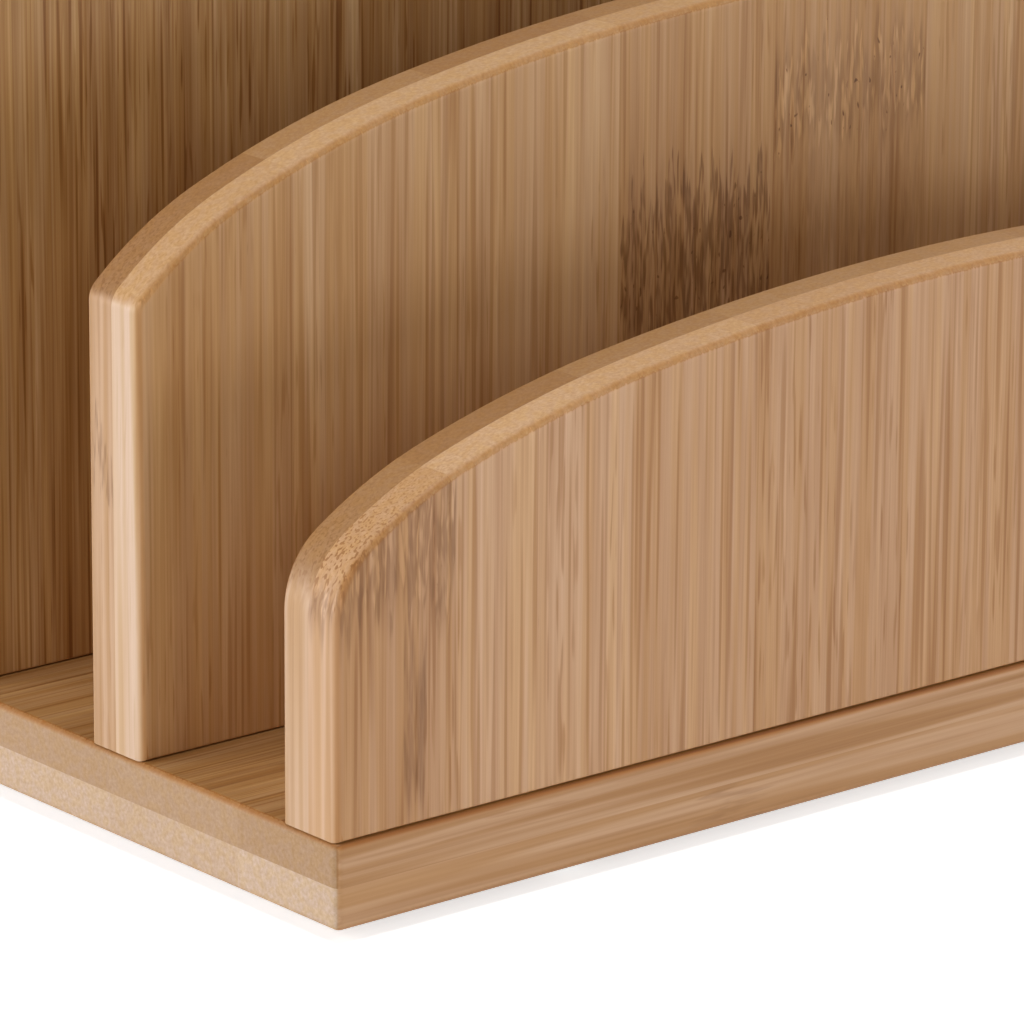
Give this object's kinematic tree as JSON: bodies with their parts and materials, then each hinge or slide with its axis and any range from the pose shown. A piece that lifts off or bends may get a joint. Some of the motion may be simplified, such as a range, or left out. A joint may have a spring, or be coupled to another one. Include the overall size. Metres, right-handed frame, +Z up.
{
  "type": "letter rack",
  "caption": "Bamboo letter rack with arched upright panels of rising height on a flat base board, leaving open slots between the panels for envelopes and papers.",
  "frame": {"origin": "on the desk, under the middle of the base board", "axes": "+X along the length of the rack, +Y from the front panel to the back panel, +Z up"},
  "size_m": [0.2, 0.0802, 0.113],
  "materials": {
    "bamboo_pale": "satin clear lacquer",
    "bamboo_tan": "satin clear lacquer",
    "screw_steel": "zinc plated",
    "foot_pad": "matt"
  },
  "bodies": {
    "root": {"base_lower_ply": "bamboo_pale", "base_upper_ply": "bamboo_tan", "front_panel_face_ply": "bamboo_pale", "front_panel_rear_ply": "bamboo_tan", "front_panel_screws": "screw_steel", "middle_panel_face_ply": "bamboo_pale", "middle_panel_rear_ply": "bamboo_tan", "middle_panel_screws": "screw_steel", "back_panel_face_ply": "bamboo_pale", "back_panel_rear_ply": "bamboo_tan", "back_panel_screws": "screw_steel", "foot_front_left": "foot_pad", "foot_front_right": "foot_pad", "foot_rear_left": "foot_pad", "foot_rear_right": "foot_pad"}
  },
  "joints": []
}
